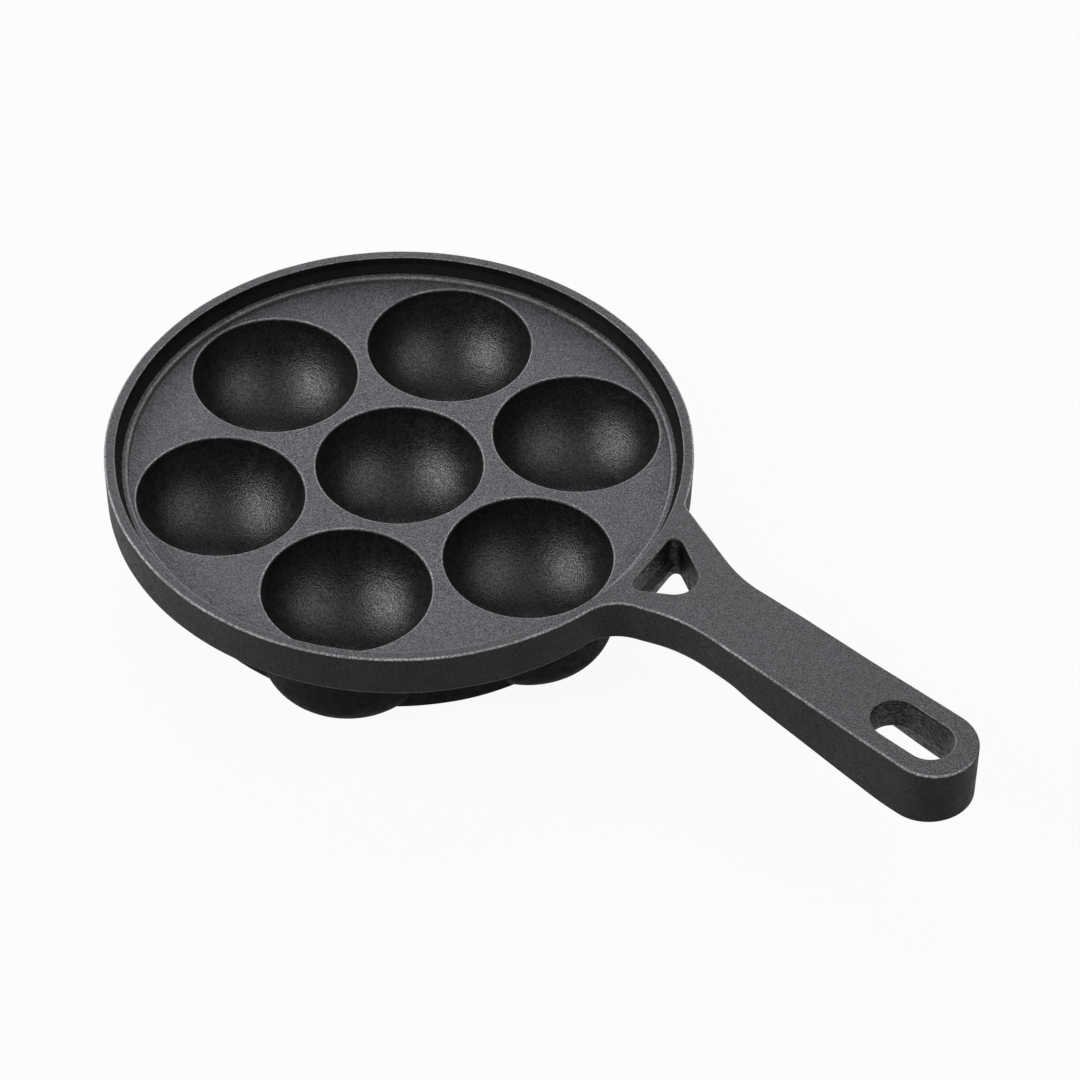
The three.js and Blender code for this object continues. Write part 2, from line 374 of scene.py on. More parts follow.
rubbing = {
    "crestSpan": (0.2, 0.95),
    "chip": (3, 0.7), "chipSpan": (0.38, 0.62), "chipShare": (0.28, 1),
    "stretchScale": 45, "stretch": (2, 0.5), "stretchSpan": (0.36, 0.62), "stretchShare": (0.6, 1),
}


def makeWearGroup():  # edges rubbed brighter by hands, lids and stacking; along the bowl lips, the ledge's crest and the handle's edges the bright rubbed iron also paints highlight lines
    group, given, result = newGroup("edge wear", ("Amount", "Break Up"), ("Mask",))
    where = addNode(group, "ShaderNodeTexCoord").outputs["Object"]
    worn = addNode(group, "ShaderNodeAttribute", attribute_name="worn").outputs["Fac"]
    crest = addRange(group, worn, rubbing["crestSpan"], (0, 1))
    chips = addNoise(group, where, given["Break Up"], rubbing["chip"])
    chips = addRange(group, chips, rubbing["chipSpan"], rubbing["chipShare"])
    stretches = addNoise(group, where, rubbing["stretchScale"], rubbing["stretch"])
    stretches = addRange(group, stretches, rubbing["stretchSpan"], rubbing["stretchShare"])
    patches = addMath(group, "MULTIPLY", chips, stretches)
    rubbed = addMath(group, "MULTIPLY", crest, patches)
    feed(group, addMath(group, "MULTIPLY", rubbed, given["Amount"], True), result["Mask"])
    return group


oilFilm = {
    "broad": (3, 0.55), "broadShare": 0.6, "fleck": (3, 0.6), "fleckShare": 0.4,
    "toneSpan": (0.36, 0.64), "dullSpan": (0.3, 0.7),
}


def makeSeasoningGroup():  # uneven film of baked oil
    group, given, result = newGroup("seasoning", ("Patch Scale", "Fleck Scale"), ("Tone", "Dull"))
    where = addNode(group, "ShaderNodeTexCoord").outputs["Object"]
    broad = addNoise(group, where, given["Patch Scale"], oilFilm["broad"])
    flecks = addNoise(group, where, given["Fleck Scale"], oilFilm["fleck"])
    both = addMath(group, "ADD", addMath(group, "MULTIPLY", broad, oilFilm["broadShare"]),
                   addMath(group, "MULTIPLY", flecks, oilFilm["fleckShare"]))
    feed(group, addRange(group, both, oilFilm["toneSpan"], (0, 1)), result["Tone"])
    feed(group, addRange(group, flecks, oilFilm["dullSpan"], (0, 1)), result["Dull"])
    return group


# painted top light: upward faces get a paler colour that stands for light falling from above
paintedTopLightSettings = {
    "facingSpan": (0.78, 0.985),
    "patchScale": 60, "patch": (4, 0.6), "patchSpan": (0.3, 0.7), "patchShare": (0.7, 1),
}


def makePaintedTopLightGroup():  # paints light from above: faces that point up turn paler, in patches like a dry pale haze
    group, given, result = newGroup("painted top light", ("Amount",), ("Mask",))
    source = addNode(group, "ShaderNodeTexCoord")
    split = addNode(group, "ShaderNodeSeparateXYZ")
    feed(group, source.outputs["Normal"], split.inputs[0])
    facing = addRange(group, split.outputs["Z"], paintedTopLightSettings["facingSpan"], (0, 1))
    patches = addNoise(group, source.outputs["Object"], paintedTopLightSettings["patchScale"], paintedTopLightSettings["patch"])
    patches = addRange(group, patches, paintedTopLightSettings["patchSpan"], paintedTopLightSettings["patchShare"])
    settled = addMath(group, "MULTIPLY", facing, patches)
    feed(group, addMath(group, "MULTIPLY", settled, given["Amount"], True), result["Mask"])
    return group


grainGroup, wearGroup = makeGrainGroup(), makeWearGroup()
seasoningGroup, paintedTopLightGroup = makeSeasoningGroup(), makePaintedTopLightGroup()


def placeGroup(tree, group, values):
    node = addNode(tree, "ShaderNodeGroup", node_tree=group)
    for label, value in values.items():
        feed(tree, value, node.inputs[label])
    return node.outputs


# finishes: one iron, seasoned and rubbed differently on each part of the pan, with painted top light on
# upward faces and painted shade on inner walls, the foot of the wall and undersides
def castIron(name, look):
    material = bpy.data.materials.new(name)
    material.use_nodes = True
    tree = material.node_tree
    shader = tree.nodes["Principled BSDF"].inputs
    grain = placeGroup(tree, grainGroup, look["grain"])
    wear = placeGroup(tree, wearGroup, look["wear"])["Mask"]
    film = placeGroup(tree, seasoningGroup, look["film"])
    # painted top light: the base colour of upward faces is mixed towards a paler colour
    paintedTopLight = placeGroup(tree, paintedTopLightGroup, {"Amount": look["paintedTopLightShare"]})["Mask"]
    iron = addMix(tree, film["Tone"], look["dark"], look["light"])
    iron = addMix(tree, paintedTopLight, iron, look["paintedTopLight"])
    grained = addNode(tree, "ShaderNodeVectorMath", operation="SCALE")
    feed(tree, iron, grained.inputs[0])
    feed(tree, grain["Tone"], grained.inputs["Scale"])
    feed(tree, addMix(tree, wear, grained.outputs[0], look["rubbed"]), shader["Base Color"])
    dull = addRange(tree, film["Dull"], (0, 1), (look["smooth"], look["rough"]))
    polished = addMath(tree, "MULTIPLY", wear, look["polish"])
    feed(tree, addMath(tree, "SUBTRACT", dull, polished, True), shader["Roughness"])
    bare = addMath(tree, "MULTIPLY", wear, look["bare"])
    pits = addMath(tree, "MULTIPLY", grain["Pits"], look["pitted"])
    feed(tree, addMath(tree, "MAXIMUM", bare, pits), shader["Metallic"])
    feed(tree, look["gloss"], shader["Specular IOR Level"])
    bump = addNode(tree, "ShaderNodeBump")
    feed(tree, look["bump"], bump.inputs["Strength"])
    feed(tree, look["bumpDepth"], bump.inputs["Distance"])
    feed(tree, grain["Height"], bump.inputs["Height"])
    feed(tree, bump.outputs["Normal"], shader["Normal"])
    return material


trayLook = {
    "dark": (0.0200, 0.0192, 0.0180), "light": (0.0290, 0.0280, 0.0264),
    "paintedTopLight": (0.036, 0.035, 0.039), "paintedTopLightShare": 0.85,
    "rubbed": (0.56, 0.56, 0.57), "bare": 0.75, "polish": 0.26,
    "gloss": 0.68, "smooth": 0.50, "rough": 0.64, "pitted": 0.04, "bump": 1.0, "bumpDepth": 0.0011,
    "grain": {"Grain Scale": 1400, "Swell Scale": 300, "Swell": 0.3, "Contrast": 1.1},
    "wear": {"Amount": 0.9, "Break Up": 1300},
    "film": {"Patch Scale": 30, "Fleck Scale": 320},
}
trayIron = castIron("tray iron", trayLook)
deckIron = castIron("deck iron", {
    **trayLook,
    "paintedTopLight": (0.056, 0.054, 0.061), "rubbed": (0.42, 0.42, 0.43), "bare": 0.48, "gloss": 0.8,
    "grain": {**trayLook["grain"], "Grain Scale": 1500},
})
flankIron = castIron("flank iron", {
    **trayLook,
    "dark": (0.0206, 0.0195, 0.0180), "light": (0.0308, 0.0294, 0.0275), "paintedTopLightShare": 0.0, "polish": 0.22,
    "gloss": 0.10, "smooth": 0.52, "rough": 0.66, "pitted": 0.03, "bump": 0.6, "bumpDepth": 0.0005,
    "grain": {"Grain Scale": 1300, "Swell Scale": 280, "Swell": 0.35, "Contrast": 0.42},
})
# near-black inside the bowls, far darker than the deck: dark seasoning, and painted shade on the bowls'
# walls
bowlLook = {
    "dark": (0.0031, 0.0030, 0.0028), "light": (0.0055, 0.0054, 0.0053),
    "paintedTopLight": (0.03, 0.03, 0.032), "paintedTopLightShare": 0.0,
    "rubbed": (0.30, 0.30, 0.31), "bare": 0.5, "polish": 0.15,
    "gloss": 1.0, "smooth": 0.33, "rough": 0.43, "pitted": 0.5, "bump": 0.55, "bumpDepth": 0.0004,
    "grain": {"Grain Scale": 1450, "Swell Scale": 420, "Swell": 0.25, "Contrast": 0.5},
    "wear": {"Amount": 0.5, "Break Up": 900},
    "film": {"Patch Scale": 45, "Fleck Scale": 300},
}
bowlIron = castIron("bowl iron", bowlLook)
# darker iron on the walls of the slot, window and hollow: painted shade in the holes, with a coarse cast
# texture
pocketIron = castIron("pocket iron", {
    **bowlLook,
    "dark": (0.0034, 0.0033, 0.0031), "light": (0.0070, 0.0067, 0.0062), "bare": 0.3, "polish": 0.1,
    "gloss": 0.40, "smooth": 0.36, "rough": 0.58, "pitted": 0.6, "bump": 0.6, "bumpDepth": 0.0008,
    "grain": {"Grain Scale": 760, "Swell Scale": 190, "Swell": 0.9, "Contrast": 0.6},
    "film": {"Patch Scale": 60, "Fleck Scale": 420},
})
# darkest iron: painted shade on the inner walls, the slope at the foot of the wall, the undersides, bowl
# outsides and webs
paintedShadeIron = castIron("painted shade iron", {
    **bowlLook,
    "dark": (0.0050, 0.0048, 0.0044), "light": (0.0090, 0.0087, 0.0080),
    "rubbed": (0.05, 0.05, 0.05), "bare": 0.2, "polish": 0.1,
    "gloss": 0.08, "smooth": 0.66, "rough": 0.82, "pitted": 0.03, "bump": 0.5,
    "grain": {"Grain Scale": 1100, "Swell Scale": 240, "Swell": 0.4, "Contrast": 0.35},
    "wear": {"Amount": 0.5, "Break Up": 500},
    "film": {"Patch Scale": 30, "Fleck Scale": 300},
})
print("finishes made")


# handle plan, needed for the rim too because the handle is cast with a stretch of rim
handle = {
    "tipX": cadSize("handle", 1, 0),
    "offset": 20, "neckWidth": 29.8, "neckReach": 27, "neckRound": 55, "tipWidth": 33.2,
    "shoulder": math.radians(20), "nearRound": 16, "farRound": 5, "rootMargin": 4,
    "bellyReach": 50, "gripSetback": 24, "gripDepth": 25, "tipDepth": 22.8, "bellyRound": 80, "pastTip": 5,
    "underRound": 2.5, "lipRound": 0.6, "sideDraft": 0.25,
    "roundBlend": (4, 25), "draftBlend": (4, 30),  # reach from the rim
    "lipBlend": (-18, -2),  # reach from the hollow
    "hollowReach": 64, "hollowWall": 2, "hollowRound": 9, "gripWeb": 13.4,
    "hollowLip": 0.4, "hollowDraft": 1.4, "hollowFillet": 2.2, "hollowWear": 0.4,
    "slotLength": 32.5, "slotWidth": 17.8, "slotEndWall": 9,
    "windowBase": 34.2, "windowHeight": 28.5, "windowBaseRound": 3, "windowTipRound": 9,
    "ledgeShare": 0.62, "ledgeBlend": 0.1, "ledgeDepth": 1.5, "holeRound": 0.9, "holeWear": 0.6,
    "farEdgeLightShare": 0.35, "farFacing": (-0.1, 0.5), "farBlend": (0, 15),  # far edge of the grip, painted dimmer than the near one
    "sideSteps": 5, "holeSteps": 10, "marginSteps": 4, "rootSteps": 40, "lipSteps": 3, "filletSteps": 5,
    "topSpacing": 2.6, "pathSpacing": 3,
    "outlineTurn": 4, "undersideTurn": 1, "slotTurn": 7, "hollowTurn": 6, "windowTurn": 10,
}


def rootCorner(side, size):  # where a rounded shoulder of the handle meets the rim
    rim = pan["rimRadius"]
    flare = handle["shoulder"]
    neck = Vector((rim + handle["neckReach"], handle["offset"] + side * handle["neckWidth"] / 2))
    along = Vector((-math.cos(flare), side * math.sin(flare)))
    out = Vector((math.sin(flare), side * math.cos(flare)))
    base = neck + out * size
    slope = base.dot(along)
    run = -slope - math.sqrt(slope ** 2 - base.length_squared + (rim + size) ** 2)
    onRim = (base + along * run).normalized() * rim
    corner = neck + along * ((rim ** 2 - neck.dot(onRim)) / along.dot(onRim))
    return {"neck": neck, "corner": corner, "onRim": onRim, "angle": math.atan2(onRim.y, onRim.x)}


lowerRoot, upperRoot = rootCorner(-1, handle["nearRound"]), rootCorner(1, handle["farRound"])
rootTurn = handle["rootMargin"] / pan["rimRadius"]
rootFrom, rootTo = lowerRoot["angle"] - rootTurn, upperRoot["angle"] + rootTurn


# rim: the same profile is used for the stretch of rim on the handle
def innerProfile():  # from the land over the wall and the shelf to the band's underside
    return roundedPath([
        (pan["trayRadius"] + pan["innerRound"], pan["rimTop"], 0, 0),
        (pan["trayRadius"], pan["rimTop"], pan["innerRound"], pan["innerWear"]),
        (pan["trayRadius"] - pan["wallDraft"], pan["floorUnder"], 0, 0),
        (pan["shelfRadius"], pan["floorUnder"], 0, 0),
        (pan["shelfRadius"], pan["bandUnder"], pan["shelfRound"], pan["shelfWear"]),
        (pan["shelfRadius"] + pan["shelfRound"], pan["bandUnder"], 0, 0),
    ], closed=False)


# rows down a wall with rounded edges: inset, share of the height, step from there, wear
def edgeRings(roundTop, roundUnder, draft, sideSteps):
    rows = []
    for angle in quarterTurn(pan["edgeSteps"]):
        inset, drop = roundTop * (1 - math.sin(angle)), roundTop * (1 - math.cos(angle))
        rows.append((inset, 0, -drop, math.sin(2 * angle)))
    for k in range(1, sideSteps):
        rows.append((draft * k / sideSteps, k / sideSteps, 0, 0))
    for angle in quarterTurn(pan["edgeSteps"]):
        inset, rise = roundUnder * (1 - math.cos(angle)), roundUnder * (1 - math.sin(angle))
        rows.append((draft + inset, 1, rise, pan["underWear"] * math.sin(2 * angle)))
    return rows


def outerProfile():
    rim, top, under = pan["rimRadius"], pan["rimTop"], pan["bandUnder"]
    rows = edgeRings(pan["edgeRound"], pan["bandRound"], pan["bandDraft"], handle["sideSteps"])
    return [(rim - inset, top + (under - top) * share + step, wear) for inset, share, step, wear in rows]


def isFlank(number, face):  # walls and undersides, which meet the tops in the middle of the rounded edge
    return face.normal.z < pan["flankFacing"]


def isInnerWall(number, face):
    middle = face.calc_center_median() * perMetre
    upright = abs(face.normal.z) < pan["flankFacing"]
    return upright and middle.xy.length < pan["trayRadius"] + pan["wallMargin"]


def makeRim():
    shape = newShape()
    profile = outerProfile() + innerProfile()[::-1]
    rings = turned(shape, profile, pan["rimSteps"], panCentre, rootTo, fullTurn - (rootTo - rootFrom))
    bridgeAll(shape, rings + rings[:1], False)
    capEnds(shape, rings)
    # the inner wall takes the darkest iron: painted shade
    castPiece("castRim", shape, trayIron, ["rim_wall"],
              [(flankIron, isFlank), (paintedShadeIron, isInnerWall)])


makeRim()


# tray floor with rounded bowl lips and a low ledge at the foot of the wall
trayFloor = {
    # lipWear and ledgeWear put bright rubbed iron on the lips and the ledge's crest: partly wear, partly
    # painted highlight lines
    "lipRound": 0.8, "lipWear": 1.0,
    "deckTo": 98.4, "stepFoot": 98.75, "footRound": 0.25,  # step at the foot of the wall
    "ledgeFrom": 99.2, "ledgeTo": 101.3, "ledgeHeight": 2.2, "ledgeRound": 1.4, "ledgeWear": 0.8,
    "slopeRound": 0.3, "slopeTop": 5.4,  # slope from the ledge up to the wall
    "bite": 0.1, "hiddenEdge": 1.5,  # the floor's edge runs on inside the wall
    "rimSteps": 240, "bowlSteps": 96, "spacing": 2.3, "lipSteps": 6, "throatSteps": 4,
}


def bowlRadiusAt(depth):
    bowlDepth = pan["floorTop"] - pan["bowlFloor"]
    return pan["bowlRadius"] * math.sqrt(max(0, 1 - (depth / bowlDepth) ** 2))


def lipProfile():  # from the flat of the tray into the bowl, down to the underside of the floor
    size, steps = trayFloor["lipRound"], trayFloor["lipSteps"]
    thickness = pan["floorTop"] - pan["floorUnder"]
    profile = []
    for k, angle in enumerate(quarterTurn(steps)):
        depth = size * (1 - math.cos(angle))
        profile.append((bowlRadiusAt(depth) + size * (1 - math.sin(angle)), pan["floorTop"] - depth,
                        trayFloor["lipWear"] * math.sin(math.pi * math.sqrt(k / steps))))
    for k in range(1, trayFloor["throatSteps"] + 1):
        depth = size + (thickness - size) * k / trayFloor["throatSteps"]
        profile.append((bowlRadiusAt(depth), pan["floorTop"] - depth, 0))
    return profile


def ledgeProfile():  # up the step, along the ledge and up the slope into the wall
    top = pan["floorTop"]
    lean = pan["wallDraft"] / (pan["rimTop"] - pan["floorUnder"])
    high = top + trayFloor["slopeTop"]
    wall = pan["trayRadius"] - lean * (pan["rimTop"] - high)
    hidden = pan["trayRadius"] + trayFloor["hiddenEdge"]
    ledge = top + trayFloor["ledgeHeight"]
    return roundedPath([
        (trayFloor["deckTo"], top, 0, 0),
        (trayFloor["stepFoot"], top, trayFloor["footRound"], 0),
        (trayFloor["ledgeFrom"], ledge, trayFloor["ledgeRound"], trayFloor["ledgeWear"]),
        (trayFloor["ledgeTo"], ledge, trayFloor["slopeRound"], 0),
        (wall + trayFloor["bite"], high, 0, 0),
        (hidden, high, 0, 0),
        (hidden, pan["floorUnder"], 0, 0),
    ], closed=False)


def makeTrayFloor():
    shape = newShape()
    profile = ledgeProfile()
    edgeLoops = turned(shape, profile, trayFloor["rimSteps"], panCentre)
    bridgeAll(shape, edgeLoops, True)
    edgeFaces = len(shape["faces"])
    beforeSlope = sum(radius < trayFloor["ledgeTo"] - trayFloor["bite"] for radius, _, _ in profile)
    slopeFaces = range(beforeSlope * trayFloor["rimSteps"], edgeFaces)
    tops, unders, throats = [edgeLoops[0]], [edgeLoops[-1]], set()
    for place in [panCentre] + bowlPlaces:
        rings = turned(shape, lipProfile(), trayFloor["bowlSteps"], place)
        bridgeAll(shape, rings, True)
        lipFaces = len(shape["faces"]) - trayFloor["throatSteps"] * trayFloor["bowlSteps"]
        throats.update(range(lipFaces, len(shape["faces"])))
        tops.append(rings[0])
        unders.append(rings[-1])
    fillFlat(shape, tops, trayFloor["spacing"], lambda x, y: pan["floorTop"])
    topFaces = len(shape["faces"])
    fillFlat(shape, unders, trayFloor["spacing"], lambda x, y: pan["floorUnder"])
    nodes = ["tray_floor_centre"] + [f"tray_floor_{i + 1}" for i in range(pan["outerBowls"])]
    # the slope up to the wall and the underside take the darkest iron: painted shade
    castPiece("castTrayFloor", shape, deckIron, nodes, [
        (bowlIron, lambda number, face: number in throats),
        (paintedShadeIron, lambda number, face: number >= topFaces or number in slopeFaces)])


makeTrayFloor()


# bowls, whose insides go on from the lips of the tray floor
bowl = {
    "outside": 33.2, "taper": 2.2, "footRound": 13, "footWear": 0.5, "flare": 1.6,
    "flatShare": 0.25, "sideShare": 0.7,  # extra rings on the flat foot and on the side
    "insideSteps": 20, "steps": 96, "turnStep": 7,
}


def bowlOutsideAt(height):  # before the foot is rounded
    return bowl["outside"] - bowl["taper"] * (1 - height / pan["floorUnder"])


def bowlSkinAt(height):  # with the rounded foot
    size = bowl["footRound"]
    lean = math.atan2(bowl["taper"], pan["floorUnder"])
    flat = bowlOutsideAt(0) - size * math.tan(math.pi / 4 - lean / 2)
    rise = min(max(size - height, 0), size)
    return min(bowlOutsideAt(height), flat + math.sqrt(size ** 2 - rise ** 2))


def makeBowl(name, node, place):
    bowlDepth = pan["floorTop"] - pan["bowlFloor"]
    top = pan["floorUnder"]
    side = top * bowl["sideShare"]
    profile = roundedPath([
        (0, 0, 0, 0),
        (bowlOutsideAt(0) * bowl["flatShare"], 0, 0, 0),
        (bowlOutsideAt(0), 0, bowl["footRound"], bowl["footWear"]),
        (bowlOutsideAt(side), side, 0, 0),
        (bowlOutsideAt(top), top, bowl["flare"], 0),
        (bowlOutsideAt(top) + bowl["flare"], top, 0, 0),
    ], closed=False, turnStep=bowl["turnStep"])
    outsideFaces = (len(profile) - 1) * bowl["steps"]
    start = math.asin((pan["floorTop"] - top) / bowlDepth)
    for k in range(bowl["insideSteps"] + 1):
        angle = start + (math.pi / 2 - start) * k / bowl["insideSteps"]
        radius = 0 if k == bowl["insideSteps"] else pan["bowlRadius"] * math.cos(angle)
        profile.append((radius, pan["floorTop"] - bowlDepth * math.sin(angle), 0))
    shape = newShape()
    bridgeAll(shape, turned(shape, profile, bowl["steps"], place), True)
    # the bowl's outside takes the darkest iron: painted shade
    castPiece(name, shape, bowlIron, [node], [
        (paintedShadeIron, lambda number, face: number < outsideFaces)])


makeBowl("castBowlCentre", "bowl_centre", panCentre)
for i, place in enumerate(bowlPlaces):
    makeBowl(f"castBowl{i + 1}", f"bowl_{i + 1}", place)


# webs of the heat ring, which run into the bowls on both sides
ringWeb = {
    "radius": 86, "wall": 5, "lift": 2.5, "edgeRound": 1.8, "paintedNearEdgeLight": 0.6, "bite": 0.9,
    "heights": 18, "steps": 18,
}


def webHalfGap(radius, height):  # angle from a bowl's own direction to where its outside cuts the ring
    reach = bowlSkinAt(height) - ringWeb["bite"]
    pitch = pan["bowlPitch"]
    return math.acos((radius ** 2 + pitch ** 2 - reach ** 2) / (2 * radius * pitch))


def makeRingWeb(i):
    inner, outer = ringWeb["radius"] - ringWeb["wall"], ringWeb["radius"]
    low, high = ringWeb["lift"], pan["floorUnder"]
    size, wear = ringWeb["edgeRound"], ringWeb["paintedNearEdgeLight"]
    heights = [high + (low + size - high) * k / ringWeb["heights"] for k in range(ringWeb["heights"] + 1)]
    lower = roundedPath([(outer, high, 0, 0), (outer, low, size, wear),
                         (inner, low, size, wear), (inner, high, 0, 0)], closed=False)[1:-1]
    profile = [(outer, height, 0) for height in heights[:-1]] + lower
    profile += [(inner, height, 0) for height in heights[-2::-1]]
    shape = newShape()
    rings = []
    for spot in profile:
        gap = webHalfGap(spot[0], spot[1])
        fromAngle, toAngle = bowlAngle(i) + gap, bowlAngle(i + 1) - gap
        rings += turned(shape, [spot], ringWeb["steps"], panCentre, fromAngle, toAngle - fromAngle)
    bridgeAll(shape, rings + rings[:1], False)
    capEnds(shape, rings)
    # the webs are all darkest iron: painted shade
    castPiece(f"castRingWeb{i + 1}", shape, paintedShadeIron, [f"ring_web_{i + 1}"])


for i in range(pan["outerBowls"]):
    makeRingWeb(i)


# handle: flat on top, deepest where the hand holds it, with a window at the rim and a slot to hang it by
def handleUnderside():
    rim, top, tip = pan["rimRadius"], pan["rimTop"], handle["tipX"]
    return roundedPath([
        (0, pan["bandUnder"], 0, 0),
        (rim + handle["bellyReach"], pan["bandUnder"], handle["bellyRound"], 0),
        (tip - handle["gripSetback"], top - handle["gripDepth"], handle["bellyRound"], 0),
        (tip + handle["pastTip"], top - handle["tipDepth"], 0, 0),
    ], closed=False, turnStep=handle["undersideTurn"])


underside = handleUnderside()


def undersideAt(x):
    for (x0, z0, _), (x1, z1, _) in zip(underside, underside[1:]):
        if x <= x1:
            return z0 + (z1 - z0) * (x - x0) / (x1 - x0)
    return underside[-1][1]


def smoothStep(low, high, value):
    share = min(1, max(0, (value - low) / (high - low)))
    return share * share * (3 - 2 * share)


def blendAt(x, start, span):  # from 0 to 1 over a span that is measured from the start
    return smoothStep(start + span[0], start + span[1], x)


def underRoundAt(x):  # as the band at the rim, fullest at the neck, small on the walls of the hollow
    rim, hollow = pan["rimRadius"], pan["rimRadius"] + handle["hollowReach"]
    fuller, smaller = handle["underRound"] - pan["bandRound"], handle["lipRound"] - handle["underRound"]
    size = pan["bandRound"] + fuller * blendAt(x, rim, handle["roundBlend"])
    return size + smaller * blendAt(x, hollow, handle["lipBlend"])


def sideDraftAt(x):
    change = handle["sideDraft"] - pan["bandDraft"]
    return pan["bandDraft"] + change * blendAt(x, pan["rimRadius"], handle["draftBlend"])


def paintedNearEdgeLight(x, normal):  # painted highlight: edges facing the camera and key lamp keep their full bright wear, those facing away keep less
    far = smoothStep(*handle["farFacing"], normal.y) * blendAt(x, pan["rimRadius"], handle["farBlend"])
    return 1 - (1 - handle["farEdgeLightShare"]) * far


def densePath(path):
    dense = [path[0]]
    for spot in path[1:]:
        before = dense[-1]
        parts = max(1, math.ceil(math.dist(before[:2], spot[:2]) / handle["pathSpacing"]))
        for k in range(1, parts + 1):
            dense.append(tuple(a + (b - a) * k / parts for a, b in zip(before, spot)))
    return [spot[:2] for spot in dense]


def denseLoop(path):
    return densePath(path + path[:1])[:-1]


def gripSlope():  # how much each side of the grip widens towards the tip
    length = handle["tipX"] - pan["rimRadius"] - handle["neckReach"]
    return (handle["tipWidth"] - handle["neckWidth"]) / 2 / length


def tipArc(half):  # radius of a round end on sides that widen like the grip's
    return half * math.tan(math.pi / 4 - math.atan(gripSlope()) / 2)


def handleOutline():  # from the rim below the handle round the tip to the rim above it
    rim, tip, middle = pan["rimRadius"], handle["tipX"], handle["offset"]
    half = handle["tipWidth"] / 2
    corners = [(*lowerRoot["onRim"], 0, 0), (*lowerRoot["corner"], handle["nearRound"], 0),
               (*lowerRoot["neck"], handle["neckRound"], 0),
               (tip, middle - half, tipArc(half), 0), (tip, middle + half, tipArc(half), 0),
               (*upperRoot["neck"], handle["neckRound"], 0), (*upperRoot["corner"], handle["farRound"], 0),
               (*upperRoot["onRim"], 0, 0)]
    path = densePath(roundedPath(corners, closed=False, turnStep=handle["outlineTurn"]))
    margin = [k / handle["marginSteps"] for k in range(handle["marginSteps"])]
    before = [rootFrom + rootTurn * share for share in margin]
    after = [rootTo - rootTurn * share for share in margin[::-1]]
    return ([(rim * math.cos(angle), rim * math.sin(angle)) for angle in before] + path
            + [(rim * math.cos(angle), rim * math.sin(angle)) for angle in after])


def slotOutline():
    end, half = handle["tipX"] - handle["slotEndWall"], handle["slotWidth"] / 2
    low, high = handle["offset"] - half, handle["offset"] + half
    corners = [(end - handle["slotLength"], low, half, 0), (end, low, half, 0),
               (end, high, half, 0), (end - handle["slotLength"], high, half, 0)]
    return roundedPath(corners, turnStep=handle["slotTurn"])


def hollowOutline():  # inside the plan of the grip by an even wall
    start, end = pan["rimRadius"] + handle["hollowReach"], handle["tipX"] - handle["hollowWall"]
    widest, middle = handle["tipWidth"] / 2 - handle["hollowWall"], handle["offset"]
    halfStart = widest - gripSlope() * (handle["tipX"] - start)
    halfEnd = widest - gripSlope() * (handle["tipX"] - end)
    startRound, endRound = handle["hollowRound"], tipArc(halfEnd)
    corners = [(start, middle - halfStart, startRound, 0), (end, middle - halfEnd, endRound, 0),
               (end, middle + halfEnd, endRound, 0), (start, middle + halfStart, startRound, 0)]
    return roundedPath(corners, turnStep=handle["hollowTurn"])


def windowOutline():
    rim = pan["rimRadius"]
    angle = math.asin(handle["offset"] / rim)
    foot = Vector((math.cos(angle), math.sin(angle))) * rim
    along = Vector((-math.sin(angle), math.cos(angle))) * (handle["windowBase"] / 2)
    corners = [(*(foot - along), handle["windowBaseRound"], 0),
               (foot.x + handle["windowHeight"], handle["offset"], handle["windowTipRound"], 0),
               (*(foot + along), handle["windowBaseRound"], 0)]
    return roundedPath(corners, turnStep=handle["windowTurn"])


def outwardNormals(path, closed):
    normals = []
    for i, spot in enumerate(path):
        if not closed and i in (0, len(path) - 1):
            normals.append(Vector(spot).normalized())  # ends lie on the rim
            continue
        before, after = Vector(path[i - 1]), Vector(path[(i + 1) % len(path)])
        along = (after - before).normalized()
        normals.append(Vector((along.y, -along.x)))
    return normals


def movedOut(spot, normal, reach, height, wear):
    return spot[0] + normal.x * reach, spot[1] + normal.y * reach, height, wear


def handleSides(shape):  # outer walls, from the rim round the tip and back to the rim
    top = pan["rimTop"]
    path = handleOutline()
    normals = outwardNormals(path, False)
    walls = [edgeRings(pan["edgeRound"], underRoundAt(x), sideDraftAt(x), handle["sideSteps"])
             for x, _ in path]
    rings = []
    for rows in zip(*walls):
        ring = []
        for spot, normal, (inset, share, step, wear) in zip(path, normals, rows):
            height = top + (undersideAt(spot[0]) - top) * share + step
            ring.append(movedOut(spot, normal, -inset, height, wear * paintedNearEdgeLight(spot[0], normal)))
        rings.append(addRing(shape, ring))
    bridgeAll(shape, rings, False)
    return rings


# walls of a hole through the handle; a ledge, if it has one, is on the wall nearest the rim
def holeWalls(shape, outline, underAt, ledge):
    hole = denseLoop(outline)
    normals = outwardNormals(hole, True)
    top, size = pan["rimTop"], handle["holeRound"]
    rings = []
    for inset, share, step, wear in edgeRings(size, size, 0, handle["holeSteps"]):
        depth = ledge * blendAt(share, handle["ledgeShare"], (0, handle["ledgeBlend"]))
        ring = []
        for spot, normal in zip(hole, normals):
            reach = inset - depth * max(0, -normal.x) ** 2
            height = top + (underAt(spot[0]) - top) * share + step
            ring.append(movedOut(spot, normal, reach, height, wear * handle["holeWear"]))
        rings.append(addRing(shape, ring))
    bridgeAll(shape, rings, True)
    return rings


